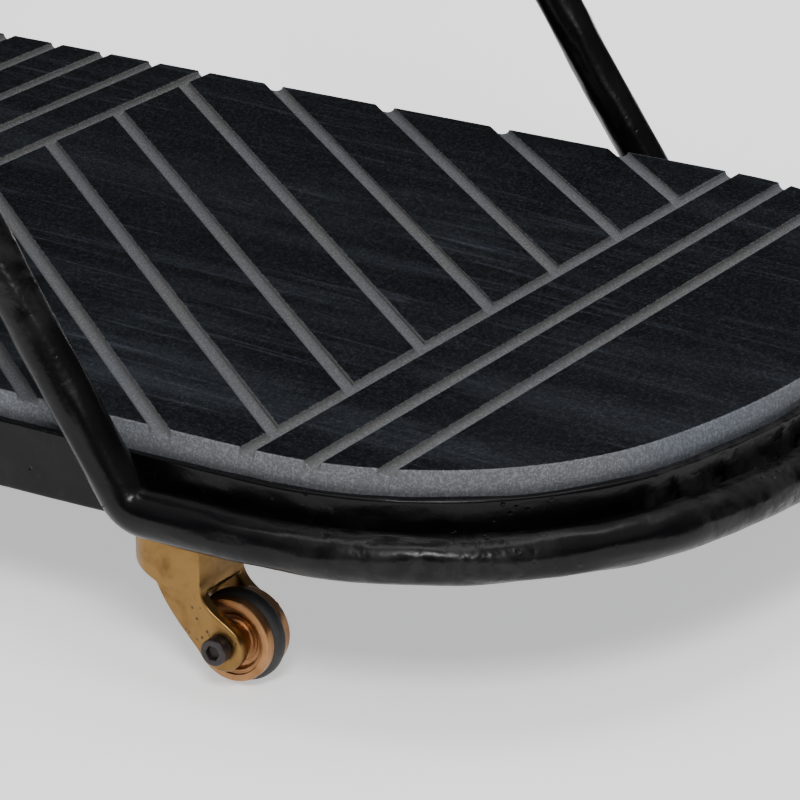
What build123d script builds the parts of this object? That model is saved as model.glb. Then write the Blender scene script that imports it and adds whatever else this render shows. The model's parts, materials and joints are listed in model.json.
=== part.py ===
from build123d import *
import os
from math import atan2, cos, degrees, radians, sin, sqrt, tan

# Bar cart: two stone shelves in welded round-bar frames on four swivel casters.
# Millimetres, +Z up, X along the cart, the front long side at -Y, floor at Z = 0.

# ---------------------------------------------------------------- shelves
SLAB_LENGTH = 896.0
SLAB_WIDTH = 356.0
SLAB_THICKNESS = 12.0
CORNER_RADIUS = 120.0
CROWN_RADIUS = 320.0
OVERALL_HEIGHT = 914.0

# Router grooves in the top of each shelf.
GROOVE_WIDTH = 6.0
GROOVE_DEPTH = 2.6
MIDDLE_PITCH = 26.8
MIDDLE_COUNT = 5
END_GROOVE_INSET = 2.9
END_PITCH = 25.4
END_COUNT = 3
DIAGONAL_ANGLE = -40.3
DIAGONAL_PITCH = 37.2
DIAGONALS_PER_SIDE = 5

# ---------------------------------------------------------------- frame
APRON_THICKNESS = 5.0
APRON_HEIGHT = 27.0
SLAB_GAP = 1.2
SLAB_PROUD = 8.3
ROD_RADIUS = 9.5
ELBOW_RADIUS = 12.0
ELBOW_INSET = 40.5
BAR_WIDTH = 25.0
BAR_THICKNESS = 5.0
BAR_INSET = 99.4
PAD_SIZE = 20.0
PAD_THICKNESS = 1.5
PAD_INSET = 58.0

# ---------------------------------------------------------------- casters
SWIVEL_END_INSET = 35.0
SWIVEL_SIDE_INSET = 8.1
REST_TURN = {"front_right": 2.0, "front_left": 0.0, "back_right": 0.0, "back_left": 0.0}
PLATE_LENGTH = 44.0
PLATE_WIDTH = 29.0
PLATE_THICKNESS = 5.0
WASHER_RADIUS = 12.0
WASHER_THICKNESS = 1.2
SWIVEL_CLEARANCE = 0.3
SWIVEL_SHANK_RADIUS = 4.0
SWIVEL_HEAD_RADIUS = 6.0
SWIVEL_HEAD_HEIGHT = 4.0
SWIVEL_NUT_HEIGHT = 6.5
RUNNING_CLEARANCE = 0.05
CROWN_HALF_LENGTH = 15.5
CROWN_HEIGHT = 20.0
REAR_HEIGHT = 12.0
FRONT_HEIGHT = 15.0
SHOULDER_DROP = 18.5
SHOULDER_SETBACK = 2.5
CROWN_CORNER_RADIUS = 10.5
FORK_WIDTH = 29.5
CHEEK_THICKNESS = 5.0
CHEEK_END_RADIUS = 9.0
TRAIL = 23.8
AXLE_DROP = 38.0
AXLE_RADIUS = 3.0
AXLE_HEAD_RADIUS = 5.0
AXLE_HEAD_HEIGHT = 5.0
AXLE_NUT_HEIGHT = 5.0
HEX_KEY = 5.0
HEX_DEPTH = 2.5
NUT_FLATS = 10.0
SLEEVE_RADIUS = 4.0
TYRE_RADIUS = 17.4
TYRE_SECTION_RADIUS = 3.75
WHEEL_GAP = 1.8
HUB_RADIUS = 15.6
HUB_BOSS_RADIUS = 6.5
HUB_RIM_INNER_RADIUS = 11.0
HUB_WEB_WALL = 0.5
HUB_RIM_RECESS = 1.25
HUB_SIDE_GAP = 1.0
HUB_CHAMFER = 0.8

# ---------------------------------------------------------------- worked out
HALF_WIDTH = SLAB_WIDTH / 2
CORNER_Y = HALF_WIDTH - CORNER_RADIUS
CROWN_X = SLAB_LENGTH / 2 - CROWN_RADIUS
CORNER_X = CROWN_X + sqrt((CROWN_RADIUS - CORNER_RADIUS) ** 2 - CORNER_Y**2)
BLEND_ANGLE = degrees(atan2(CORNER_Y, CORNER_X - CROWN_X))

# Placed from the ends of the straight sides.
END_GROOVE_X = CORNER_X - END_GROOVE_INSET
ELBOW_X = CORNER_X - ELBOW_INSET
BAR_X = CORNER_X - BAR_INSET
SWIVEL_X = CORNER_X - SWIVEL_END_INSET

APRON_OUTSET = SLAB_GAP + APRON_THICKNESS
ROD_OUTSET = APRON_OUTSET + ROD_RADIUS
ROD_Y = HALF_WIDTH + ROD_OUTSET
APRON_DROP = SLAB_PROUD + APRON_HEIGHT
RING_DROP = APRON_DROP - ROD_RADIUS
BAR_DROP = SLAB_THICKNESS + PAD_THICKNESS

FORK_TOP = TYRE_RADIUS + AXLE_DROP
PLATE_BOTTOM = FORK_TOP + SWIVEL_CLEARANCE + WASHER_THICKNESS
SHELF_TOPS = {"lower": PLATE_BOTTOM + APRON_DROP, "upper": OVERALL_HEIGHT}
SWIVEL_Y = HALF_WIDTH + SLAB_GAP - SWIVEL_SIDE_INSET
SLOT_WIDTH = FORK_WIDTH - 2 * CHEEK_THICKNESS
HUB_WIDTH = SLOT_WIDTH - 2 * HUB_SIDE_GAP
TYRE_CENTRE_RADIUS = TYRE_RADIUS - TYRE_SECTION_RADIUS

BOTTOM = (Align.CENTER, Align.CENTER, Align.MIN)
TOP = (Align.CENTER, Align.CENTER, Align.MAX)
SHELVES = ("lower", "upper")
CORNERS = {
    "front_right": (1, -1),
    "front_left": (-1, -1),
    "back_right": (1, 1),
    "back_left": (-1, 1),
}


def end_edges(offset, start_x):
    """Edges round the right-hand end of the shelf outline, moved outward by offset."""
    half = HALF_WIDTH + offset
    corner = CORNER_RADIUS + offset
    turn = 90 - BLEND_ANGLE
    edges = [
        CenterArc((CORNER_X, -CORNER_Y), corner, -90, turn),
        CenterArc((CROWN_X, 0), CROWN_RADIUS + offset, -BLEND_ANGLE, 2 * BLEND_ANGLE),
        CenterArc((CORNER_X, CORNER_Y), corner, BLEND_ANGLE, turn),
    ]
    if start_x < CORNER_X:
        edges.insert(0, Line((start_x, -half), (CORNER_X, -half)))
        edges.append(Line((CORNER_X, half), (start_x, half)))
    return edges


def end_area(offset, start_x):
    """Flat area of the right-hand end, from start_x to the crown of the end."""
    half = HALF_WIDTH + offset
    closing = Line((start_x, half), (start_x, -half))
    return make_face(Wire(end_edges(offset, start_x) + [closing]))


def slab_blank():
    """Plain shelf with its top face at Z = 0."""
    area = end_area(0, 0)
    area = area + mirror(area, about=Plane.YZ)
    return Pos(0, 0, -SLAB_THICKNESS) * extrude(area, SLAB_THICKNESS)


def groove(length):
    """Round-bottomed groove cutter along Y, for a face at Z = 0."""
    radius = (GROOVE_WIDTH**2 / 4 + GROOVE_DEPTH**2) / (2 * GROOVE_DEPTH)
    return Pos(0, 0, radius - GROOVE_DEPTH) * Rot(90, 0, 0) * Cylinder(radius, length)


def cross_grooves():
    """Grooves square to the long sides: a block in the middle and a set near each end."""
    cutter = groove(SLAB_WIDTH + 10)
    first = -(MIDDLE_COUNT - 1) / 2
    middle = [Pos((first + i) * MIDDLE_PITCH, 0, 0) * cutter for i in range(MIDDLE_COUNT)]
    right = [Pos(END_GROOVE_X + i * END_PITCH, 0, 0) * cutter for i in range(END_COUNT)]
    left = [Pos(-END_GROOVE_X - i * END_PITCH, 0, 0) * cutter for i in range(END_COUNT)]
    return middle + right + left


def diagonal_grooves():
    """Slanting grooves of the right-hand field, stopped at the cross grooves beside it."""
    inner_x = (MIDDLE_COUNT - 1) / 2 * MIDDLE_PITCH
    centre_x = (inner_x + END_GROOVE_X) / 2
    field = Pos(centre_x, 0, 0) * Box(END_GROOVE_X - inner_x, SLAB_WIDTH + 10, 4 * GROOVE_DEPTH)
    step = DIAGONAL_PITCH / sin(radians(-DIAGONAL_ANGLE))
    cutter = Rot(0, 0, DIAGONAL_ANGLE + 90) * groove(2 * SLAB_WIDTH)
    sides = range(-DIAGONALS_PER_SIDE, DIAGONALS_PER_SIDE + 1)
    return [(Pos(centre_x + i * step, 0, 0) * cutter) & field for i in sides]


def slab():
    """Grooved shelf with its top face at Z = 0."""
    right = diagonal_grooves()
    left = [mirror(cutter, about=Plane.YZ) for cutter in right]
    return slab_blank() - (cross_grooves() + right + left)


def apron_side():
    """Straight front apron bar, its top edge at Z = 0."""
    bar = Box(2 * CORNER_X, APRON_THICKNESS, APRON_HEIGHT, align=TOP)
    return Pos(0, -HALF_WIDTH - SLAB_GAP - APRON_THICKNESS / 2, 0) * bar


def apron_end():
    """Right-hand apron bar bent round the end of the shelf, its top edge at Z = 0."""
    area = end_area(APRON_OUTSET, CORNER_X) - end_area(SLAB_GAP, CORNER_X)
    return extrude(area, -APRON_HEIGHT)


def apron_set(level):
    """The four apron bars of one shelf."""
    place = Pos(0, 0, SHELF_TOPS[level] - SLAB_PROUD)
    side = place * apron_side()
    end = place * apron_end()
    return {
        f"apron_{level}_front": side,
        f"apron_{level}_back": mirror(side, about=Plane.XZ),
        f"apron_{level}_right": end,
        f"apron_{level}_left": mirror(end, about=Plane.YZ),
    }


def leg_line():
    """Foot and head of the front leg that rises from right to left, at the ring axes."""
    foot = Vector(ELBOW_X, -ROD_Y, SHELF_TOPS["lower"] - RING_DROP)
    head = Vector(-ELBOW_X, -ROD_Y, SHELF_TOPS["upper"] - RING_DROP)
    return foot, head


def elbow_setback():
    """Length of straight rod taken up on each side of an elbow."""
    foot, head = leg_line()
    rise = atan2(head.Z - foot.Z, foot.X - head.X)
    return ELBOW_RADIUS * tan(rise / 2)


def lower_bow():
    """Round bar round the right-hand end of the lower shelf, with both elbows."""
    foot, head = leg_line()
    slope = (head - foot).normalized()
    setback = elbow_setback()
    level = SHELF_TOPS["lower"] - RING_DROP
    ring = Pos(0, 0, level) * Wire(end_edges(ROD_OUTSET, ELBOW_X + setback))
    elbow_end = foot + slope * setback
    elbow_start = foot + Vector(setback, 0, 0)
    elbow = TangentArc(elbow_start, elbow_end, tangent=(-1, 0, 0))
    path = Wire(elbow.edges() + ring.edges() + mirror(elbow, about=Plane.XZ).edges())
    section = Plane(origin=elbow_end, z_dir=slope) * Circle(ROD_RADIUS)
    return sweep(section, path=path)


def bow_set():
    """The four end bows; each upper bow is a lower one turned over."""
    right = lower_bow()
    mid_height = (SHELF_TOPS["lower"] + SHELF_TOPS["upper"]) / 2 - RING_DROP
    upper_right = mirror(right, about=Plane.XY.offset(mid_height))
    return {
        "bow_lower_right": right,
        "bow_lower_left": mirror(right, about=Plane.YZ),
        "bow_upper_right": upper_right,
        "bow_upper_left": mirror(upper_right, about=Plane.YZ),
    }


def leg_set():
    """Crossed legs on both long sides; the second leg is coped against the first."""
    foot, head = leg_line()
    slope = (head - foot).normalized()
    start = foot + slope * elbow_setback()
    length = (head - foot).length - 2 * elbow_setback()
    whole = Plane(origin=start, z_dir=slope) * Cylinder(ROD_RADIUS, length, align=BOTTOM)
    crossing = mirror(whole, about=Plane.YZ)
    lower, upper = (crossing - whole).solids().sort_by(Axis.Z)
    legs = {"leg_front_a": whole, "leg_front_b_lower": lower, "leg_front_b_upper": upper}
    back = {name.replace("front", "back"): mirror(leg, about=Plane.XZ) for name, leg in legs.items()}
    return legs | back


def crossbar_set(level):
    """Flat bars across the frame under one shelf."""
    length = SLAB_WIDTH + 2 * SLAB_GAP
    bar = Box(BAR_WIDTH, length, BAR_THICKNESS, align=TOP)
    top = SHELF_TOPS[level] - BAR_DROP
    spots = {"left": -BAR_X, "middle": 0, "right": BAR_X}
    return {f"crossbar_{level}_{name}": Pos(x, 0, top) * bar for name, x in spots.items()}


def slab_pads(level):
    """Thin pads between the crossbars and one shelf."""
    pad = Box(PAD_SIZE, PAD_SIZE, PAD_THICKNESS, align=BOTTOM)
    y = HALF_WIDTH - PAD_INSET
    spots = [(x, side * y) for x in (-BAR_X, 0, BAR_X) for side in (-1, 1)]
    return Compound([Pos(x, y, SHELF_TOPS[level] - BAR_DROP) * pad for x, y in spots])


def caster_plate():
    """Front right plate welded inside the apron, drilled for the swivel bolt."""
    y = -HALF_WIDTH - SLAB_GAP + PLATE_WIDTH / 2
    blank = Box(PLATE_LENGTH, PLATE_WIDTH, PLATE_THICKNESS, align=BOTTOM)
    plate = Pos(SWIVEL_X, y, PLATE_BOTTOM) * blank
    hole = Pos(SWIVEL_X, -SWIVEL_Y, PLATE_BOTTOM) * Cylinder(SWIVEL_SHANK_RADIUS, 4 * PLATE_THICKNESS)
    return plate - hole


def swivel_bolt():
    """Swivel bolt, its head under the fork crown; Z = 0 at the top of the fork."""
    head_top = -CROWN_HEIGHT - SWIVEL_CLEARANCE
    shank_top = PLATE_BOTTOM - FORK_TOP + PLATE_THICKNESS + SWIVEL_NUT_HEIGHT + 1
    head = Pos(0, 0, head_top) * Cylinder(SWIVEL_HEAD_RADIUS, SWIVEL_HEAD_HEIGHT, align=TOP)
    shank = Pos(0, 0, head_top) * Cylinder(SWIVEL_SHANK_RADIUS, shank_top - head_top, align=BOTTOM)
    return head + shank


def swivel_lock_nut():
    """Hexagon nut on top of the caster plate."""
    area = RegularPolygon(SWIVEL_HEAD_RADIUS, 6, major_radius=False) - Circle(SWIVEL_SHANK_RADIUS)
    return Pos(0, 0, PLATE_BOTTOM - FORK_TOP + PLATE_THICKNESS) * extrude(area, SWIVEL_NUT_HEIGHT)


def thrust_washer():
    """Washer under the caster plate, just clear of the fork."""
    area = Circle(WASHER_RADIUS) - Circle(SWIVEL_SHANK_RADIUS)
    return Pos(0, 0, SWIVEL_CLEARANCE) * extrude(area, WASHER_THICKNESS)


def fork_side_area():
    """Side view of the fork, swivel axis at X = 0, top at Z = 0."""
    boss = Vector(TRAIL, -AXLE_DROP)
    reach = CHEEK_END_RADIUS
    low = boss + Vector(-reach * cos(radians(40)), -reach * sin(radians(40)))
    high = boss + Vector(reach * cos(radians(50)), reach * sin(radians(50)))
    rear = -CROWN_HALF_LENGTH
    front = CROWN_HALF_LENGTH
    shoulder = Vector(-SHOULDER_SETBACK, -SHOULDER_DROP)
    bottom = boss + Vector(0, -reach)
    low_way = (sin(radians(40)), -cos(radians(40)))
    high_way = (-sin(radians(50)), cos(radians(50)))
    edges = [
        Line((front, 0), (rear, 0)),
        Line((rear, 0), (rear, -REAR_HEIGHT)),
        Line((rear, -REAR_HEIGHT), shoulder),
        Spline(shoulder, low, tangents=[(0.4, -0.9), low_way]),
        ThreePointArc(low, bottom, high),
        Spline(high, (front, -FRONT_HEIGHT), tangents=[high_way, (0, 1)]),
        Line((front, -FRONT_HEIGHT), (front, 0)),
    ]
    return make_face(Wire(edges))


def fork():
    """Caster fork with its wheel pocket, swivel bore and axle holes; Z = 0 at its top."""
    depth = AXLE_DROP + CHEEK_END_RADIUS
    length = CROWN_HALF_LENGTH + TRAIL + CHEEK_END_RADIUS
    side = extrude(Plane.XZ * fork_side_area(), FORK_WIDTH / 2, both=True)
    plan = RectangleRounded(length, FORK_WIDTH, CROWN_CORNER_RADIUS)
    round_rear = Pos(length / 2 - CROWN_HALF_LENGTH, 0, -depth) * extrude(plan, depth)
    square_nose = Pos(CROWN_HALF_LENGTH + length / 2, 0, 0) * Box(length, FORK_WIDTH, depth, align=TOP)
    body = side & (round_rear + square_nose)
    pocket = on_axle(Cylinder(TYRE_RADIUS + WHEEL_GAP, SLOT_WIDTH))
    head_radius = SWIVEL_HEAD_RADIUS + SWIVEL_CLEARANCE
    head_room = Pos(0, 0, -CROWN_HEIGHT) * Cylinder(head_radius, depth, align=TOP)
    swivel_bore = Cylinder(SWIVEL_SHANK_RADIUS + RUNNING_CLEARANCE, 4 * CROWN_HEIGHT)
    axle_bore = Pos(TRAIL, 0, -AXLE_DROP) * Rot(90, 0, 0) * Cylinder(AXLE_RADIUS, 2 * FORK_WIDTH)
    return body - pocket - head_room - swivel_bore - axle_bore


def on_axle(shape):
    """Turn a shape built along Z onto the axle line, its +Z toward the front."""
    return Pos(TRAIL, 0, -AXLE_DROP) * Rot(90, 0, 0) * shape


def axle_bolt():
    """Socket-head screw through both cheeks, head on the front cheek."""
    head = Pos(0, 0, FORK_WIDTH / 2) * Cylinder(AXLE_HEAD_RADIUS, AXLE_HEAD_HEIGHT, align=BOTTOM)
    shank = Pos(0, 0, FORK_WIDTH / 2) * Cylinder(AXLE_RADIUS, FORK_WIDTH + AXLE_NUT_HEIGHT + 1, align=TOP)
    socket = extrude(RegularPolygon(HEX_KEY / 2, 6, major_radius=False), HEX_DEPTH)
    head = fillet(head.edges().group_by(Axis.Z)[-1], AXLE_HEAD_RADIUS / 8)
    return on_axle(head + shank - Pos(0, 0, FORK_WIDTH / 2 + AXLE_HEAD_HEIGHT - HEX_DEPTH) * socket)


def axle_nut():
    """Nut on the inner cheek."""
    area = RegularPolygon(NUT_FLATS / 2, 6, major_radius=False) - Circle(AXLE_RADIUS)
    return on_axle(Pos(0, 0, -FORK_WIDTH / 2) * extrude(area, -AXLE_NUT_HEIGHT))


def axle_sleeve():
    """Spacer tube clamped between the cheeks; the hub turns on it."""
    area = Circle(SLEEVE_RADIUS) - Circle(AXLE_RADIUS)
    return on_axle(Pos(0, 0, -SLOT_WIDTH / 2) * extrude(area, SLOT_WIDTH))


def hub():
    """Turned hub with a stepped face and a groove for the round-section tyre."""
    boss = Cylinder(HUB_BOSS_RADIUS, HUB_WIDTH)
    web = Cylinder(HUB_RADIUS, 2 * (TYRE_SECTION_RADIUS + HUB_WEB_WALL))
    rim = Cylinder(HUB_RADIUS, HUB_WIDTH - 2 * HUB_RIM_RECESS)
    rim = chamfer(rim.edges(), HUB_CHAMFER) - Cylinder(HUB_RIM_INNER_RADIUS, HUB_WIDTH)
    bore = Cylinder(SLEEVE_RADIUS + RUNNING_CLEARANCE, 2 * HUB_WIDTH)
    return on_axle(boss + web + rim - bore - Torus(TYRE_CENTRE_RADIUS, TYRE_SECTION_RADIUS))


def tyre():
    """Round-section rubber ring."""
    return on_axle(Torus(TYRE_CENTRE_RADIUS, TYRE_SECTION_RADIUS))


def caster_set():
    """All four casters, with the small fasteners of the frame gathered by kind."""
    pieces = {"fork": fork, "axle_bolt": axle_bolt, "axle_nut": axle_nut}
    pieces |= {"axle_sleeve": axle_sleeve, "hub": hub, "tyre": tyre}
    groups = {"swivel_bolts": swivel_bolt, "swivel_lock_nuts": swivel_lock_nut}
    groups |= {"thrust_washers": thrust_washer}
    shapes = {}
    gathered = {name: [] for name in groups}
    for corner, (right, back) in CORNERS.items():
        place = Pos(right * SWIVEL_X, back * SWIVEL_Y, FORK_TOP) * Rot(0, 0, REST_TURN[corner])
        for name, make in pieces.items():
            local = make() if back < 0 else mirror(make(), about=Plane.XZ)
            shapes[f"{name}_{corner}"] = place * local
        for name, make in groups.items():
            gathered[name].append(place * make())
        plate = caster_plate() if right > 0 else mirror(caster_plate(), about=Plane.YZ)
        shapes[f"caster_plate_{corner}"] = plate if back < 0 else mirror(plate, about=Plane.XZ)
    return shapes | {name: Compound(items) for name, items in gathered.items()}


def shelf_set(level):
    """Stone shelf, pads, aprons and crossbars of one level."""
    shapes = {f"slab_{level}": Pos(0, 0, SHELF_TOPS[level]) * slab()}
    shapes[f"slab_pads_{level}"] = slab_pads(level)
    return shapes | apron_set(level) | crossbar_set(level)


def bar_cart():
    """Every sub-part by name."""
    shapes = {}
    for level in SHELVES:
        shapes |= shelf_set(level)
    return shapes | bow_set() | leg_set() | caster_set()


os.makedirs("parts", exist_ok=True)
for node, shape in bar_cart().items():
    export_step(shape, f"parts/{node}.step")
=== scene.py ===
import json
import logging
import math
from dataclasses import dataclass
from enum import Enum
from typing import Dict, Iterable, List, Optional, Sequence, Tuple, Union

import bmesh
import bpy
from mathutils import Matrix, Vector


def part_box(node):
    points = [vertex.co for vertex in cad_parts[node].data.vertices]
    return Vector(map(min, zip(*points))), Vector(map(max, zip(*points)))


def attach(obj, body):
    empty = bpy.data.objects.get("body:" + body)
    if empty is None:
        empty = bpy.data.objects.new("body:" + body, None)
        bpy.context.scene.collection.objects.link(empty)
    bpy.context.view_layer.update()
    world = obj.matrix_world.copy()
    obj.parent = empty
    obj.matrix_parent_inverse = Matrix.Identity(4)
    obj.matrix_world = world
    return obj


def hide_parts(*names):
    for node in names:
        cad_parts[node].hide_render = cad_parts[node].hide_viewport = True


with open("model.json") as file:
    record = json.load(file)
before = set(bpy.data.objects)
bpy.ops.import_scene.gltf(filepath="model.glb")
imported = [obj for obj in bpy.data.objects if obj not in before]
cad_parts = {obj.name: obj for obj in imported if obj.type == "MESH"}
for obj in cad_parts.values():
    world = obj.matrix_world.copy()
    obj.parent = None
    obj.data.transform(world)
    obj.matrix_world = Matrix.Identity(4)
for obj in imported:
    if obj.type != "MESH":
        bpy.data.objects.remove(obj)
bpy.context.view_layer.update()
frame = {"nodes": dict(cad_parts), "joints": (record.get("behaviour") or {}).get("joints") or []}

LOG = logging.getLogger("bar_cart")
MM = 0.001
PER_METRE = 1000.0
Colour = Tuple[float, float, float]
Operand = Union["Wire", float, int, Sequence[float]]
Point = Tuple[float, float, float]


# ------------------------------------------------------------------ node wrappers
class Wire:
    """An output socket that can be used in arithmetic."""

    def __init__(self, graph: "Graph", socket: bpy.types.NodeSocket) -> None:
        """Args:
            graph: the graph that owns the socket.
            socket: the output socket.
        """
        self.graph = graph
        self.socket = socket

    def _math(self, operation: str, first: Operand, second: Operand = 0.0) -> "Wire":
        """Add one Math node.

        Args:
            operation: Math node operation.
            first: first operand.
            second: second operand.

        Returns:
            The node's value.
        """
        return self.graph.node("ShaderNodeMath", {0: first, 1: second}, operation=operation)

    def __add__(self, other: Operand) -> "Wire":
        return self._math("ADD", self, other)

    def __radd__(self, other: Operand) -> "Wire":
        return self._math("ADD", other, self)

    def __sub__(self, other: Operand) -> "Wire":
        return self._math("SUBTRACT", self, other)

    def __rsub__(self, other: Operand) -> "Wire":
        return self._math("SUBTRACT", other, self)

    def __mul__(self, other: Operand) -> "Wire":
        return self._math("MULTIPLY", self, other)

    def __truediv__(self, other: Operand) -> "Wire":
        return self._math("DIVIDE", self, other)

    def __neg__(self) -> "Wire":
        return self._math("MULTIPLY", self, -1.0)

    def __abs__(self) -> "Wire":
        return self._math("ABSOLUTE", self)

    def least(self, other: Operand) -> "Wire":
        """Smaller of two values."""
        return self._math("MINIMUM", self, other)

    def most(self, other: Operand) -> "Wire":
        """Larger of two values."""
        return self._math("MAXIMUM", self, other)

    def below(self, other: Operand) -> "Wire":
        """1 where the value is below the other, else 0."""
        return self._math("LESS_THAN", self, other)

    def above(self, other: Operand) -> "Wire":
        """1 where the value is above the other, else 0."""
        return self._math("GREATER_THAN", self, other)

    def from_multiple(self, pitch: float) -> "Wire":
        """Distance to the nearest multiple of a pitch."""
        return self._math("PINGPONG", self, pitch / 2)

    def root(self) -> "Wire":
        """Square root."""
        return self._math("SQRT", self)

    def step(self, low: float, high: float) -> "Wire":
        """Smooth 0 to 1 step between two values.

        Args:
            low: value where the step starts.
            high: value where it reaches 1.

        Returns:
            The stepped value.
        """
        inputs = {"Value": self, "From Min": low, "From Max": high}
        return self.graph.node("ShaderNodeMapRange", inputs, interpolation_type="SMOOTHSTEP")

    def split(self) -> Tuple["Wire", "Wire", "Wire"]:
        """X, Y and Z of a vector."""
        first = self.graph.node("ShaderNodeSeparateXYZ", {0: self})
        outputs = first.socket.node.outputs
        return first, Wire(self.graph, outputs[1]), Wire(self.graph, outputs[2])


class Graph:
    """A node tree that is filled through one general method."""

    def __init__(self, tree: bpy.types.NodeTree) -> None:
        """Args:
            tree: shader or geometry node tree.
        """
        self.tree = tree

    def node(
        self,
        kind: str,
        inputs: Optional[Dict[Union[int, str], Operand]] = None,
        output: Union[int, str] = 0,
        **settings: object,
    ) -> Wire:
        """Add a node of any kind.

        Args:
            kind: node class name.
            inputs: values or wires by socket index or name.
            output: index or name of the output wanted.
            **settings: node properties.

        Returns:
            The chosen output.
        """
        made = self.tree.nodes.new(kind)
        for name, value in settings.items():
            setattr(made, name, value)
        for key, value in (inputs or {}).items():
            self.plug(made.inputs[key], value)
        return Wire(self, made.outputs[output]) if len(made.outputs) else Wire(self, None)

    def plug(self, socket: bpy.types.NodeSocket, value: Operand) -> None:
        """Link a wire to a socket, or set the socket's own value."""
        if isinstance(value, Wire):
            self.tree.links.new(value.socket, socket)
        elif isinstance(value, tuple) and len(value) == 3 and socket.type == "RGBA":
            socket.default_value = (*value, 1.0)
        else:
            socket.default_value = value

    def vector(self, x: Operand, y: Operand, z: Operand) -> Wire:
        """Vector from three values."""
        return self.node("ShaderNodeCombineXYZ", {0: x, 1: y, 2: z})

    def noise(
        self, where: Wire, scale: float, detail: float = 2.0, rough: float = 0.5, warp: float = 0.0
    ) -> Wire:
        """Fractal noise, 0 to 1.

        Args:
            where: coordinates.
            scale: features per metre.
            detail: octaves.
            rough: octave gain.
            warp: distortion.

        Returns:
            The noise value.
        """
        shape = {"Scale": scale, "Detail": detail, "Roughness": rough, "Distortion": warp}
        return self.node("ShaderNodeTexNoise", {"Vector": where, **shape})

    def cells(self, where: Wire, scale: float, feature: str = "F1") -> Wire:
        """Distance to the nearest Voronoi point."""
        inputs = {"Vector": where, "Scale": scale}
        return self.node("ShaderNodeTexVoronoi", inputs, "Distance", feature=feature)

    def mix(self, share: Operand, first: Operand, second: Operand) -> Wire:
        """Colour between two colours."""
        inputs = {0: share, 6: first, 7: second}
        return self.node("ShaderNodeMix", inputs, 2, data_type="RGBA", clamp_factor=True)

    def pick(self, share: Operand, first: Operand, second: Operand) -> Wire:
        """Number between two numbers."""
        inputs = {0: share, 2: first, 3: second}
        return self.node("ShaderNodeMix", inputs, 0, data_type="FLOAT", clamp_factor=True)


class Surface:
    """A Principled material being built."""

    def __init__(self, name: str, **constants: float) -> None:
        """Args:
            name: material name.
            **constants: Principled inputs, with underscores for spaces.
        """
        self.material = bpy.data.materials.new(name)
        self.material.use_nodes = True
        self.graph = Graph(self.material.node_tree)
        self.bsdf = self.material.node_tree.nodes["Principled BSDF"]
        for key, value in constants.items():
            self.bsdf.inputs[key.replace("_", " ")].default_value = value
        self.point = self.graph.node("ShaderNodeTexCoord", output="Object")
        self.normal: Optional[Wire] = None

    def paint(self, **wires: Operand) -> "Surface":
        """Feed Principled inputs, with underscores for spaces."""
        for key, value in wires.items():
            self.graph.plug(self.bsdf.inputs[key.replace("_", " ")], value)
        return self

    def relief(self, height: Wire, distance: float, strength: float = 1.0) -> "Surface":
        """Add a layer of bump.

        Args:
            height: height, 0 to 1.
            distance: metres for a height of 1.
            strength: share of the bump kept.

        Returns:
            This surface.
        """
        inputs = {"Height": height, "Distance": distance, "Strength": strength}
        if self.normal is not None:
            inputs["Normal"] = self.normal
        self.normal = self.graph.node("ShaderNodeBump", inputs)
        self.graph.plug(self.bsdf.inputs["Normal"], self.normal)
        return self

    def value(self, name: str) -> Wire:
        """A float attribute of the mesh."""
        return self.graph.node("ShaderNodeAttribute", output="Fac", attribute_name=name)


# ------------------------------------------------------------------ shapes shared by pieces
@dataclass(frozen=True)
class ShelfPlan:
    """Outline and groove pattern of a shelf, in millimetres."""

    length: float = 896.0
    width: float = 356.0
    corner: float = 120.0
    crown: float = 320.0
    groove_half: float = 3.0
    middle_pitch: float = 26.8
    middle_reach: float = 53.6
    end_start: float = 316.5
    end_pitch: float = 25.4
    end_reach: float = 50.8
    slant: float = math.radians(40.3)
    slant_pitch: float = 37.2

    @property
    def corner_y(self) -> float:
        """Y of the corner arcs' centres."""
        return self.width / 2 - self.corner

    @property
    def crown_x(self) -> float:
        """X of the crown arc's centre."""
        return self.length / 2 - self.crown

    @property
    def corner_x(self) -> float:
        """X of the corner arcs' centres, where the straight sides end."""
        return self.crown_x + math.sqrt((self.crown - self.corner) ** 2 - self.corner_y**2)

    @property
    def blend(self) -> float:
        """Angle where crown and corner arcs meet."""
        return math.atan2(self.corner_y, self.corner_x - self.crown_x)

    def end_points(self, offset: float, step: float = 4.0) -> List[Tuple[float, float]]:
        """Points round the right-hand end from front to back.

        Args:
            offset: outward offset from the shelf edge.
            step: spacing of the points.

        Returns:
            Points in plan.
        """
        points: List[Tuple[float, float]] = []
        arcs = [
            (self.corner_x, -self.corner_y, self.corner + offset, -math.pi / 2, -self.blend),
            (self.crown_x, 0.0, self.crown + offset, -self.blend, self.blend),
            (self.corner_x, self.corner_y, self.corner + offset, self.blend, math.pi / 2),
        ]
        for x, y, radius, start, end in arcs:
            count = max(4, round(abs(end - start) * radius / step))
            for i in range(count + 1):
                angle = start + (end - start) * i / count
                points.append((x + radius * math.cos(angle), y + radius * math.sin(angle)))
        return [p for i, p in enumerate(points) if i == 0 or math.dist(p, points[i - 1]) > 1e-6]


PLAN = ShelfPlan()


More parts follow.
